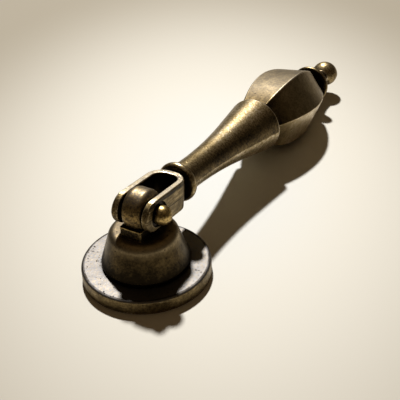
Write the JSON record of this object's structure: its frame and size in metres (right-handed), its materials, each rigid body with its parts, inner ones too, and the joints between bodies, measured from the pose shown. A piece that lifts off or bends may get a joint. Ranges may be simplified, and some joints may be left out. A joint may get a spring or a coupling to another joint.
{
  "type": "drop pull",
  "caption": "Antique brass drop pull: round rose, conical boss and hinged drop with a clevis, trumpet stem, six-sided bulb and ball finial",
  "frame": {"origin": "centre of the flat back of the rose, at the mouth of the tapped hole", "axes": "+Z away from the drawer front, +Y along the resting drop from hinge to ball, +X along the hinge pin"},
  "size_m": [0.025, 0.0994, 0.0189],
  "materials": {
    "rose_brass": "antique brass, worn",
    "boss_brass": "antique brass, dark",
    "eye_brass": "antique brass, worn",
    "pin_brass": "antique brass, rubbed",
    "drop_brass": "antique brass, rubbed"
  },
  "bodies": {
    "base": {"rose": "rose_brass", "boss": "boss_brass", "eye_post": "eye_brass"},
    "drop": {"drop": "drop_brass", "hinge_pin": "pin_brass"}
  },
  "joints": [
    {"name": "drop_swing", "type": "hinge", "parent": "base", "child": "drop", "pos_m": [0, 0, 0.0148], "axis": [1, 0, 0], "range_deg": [0, 192]}
  ]
}
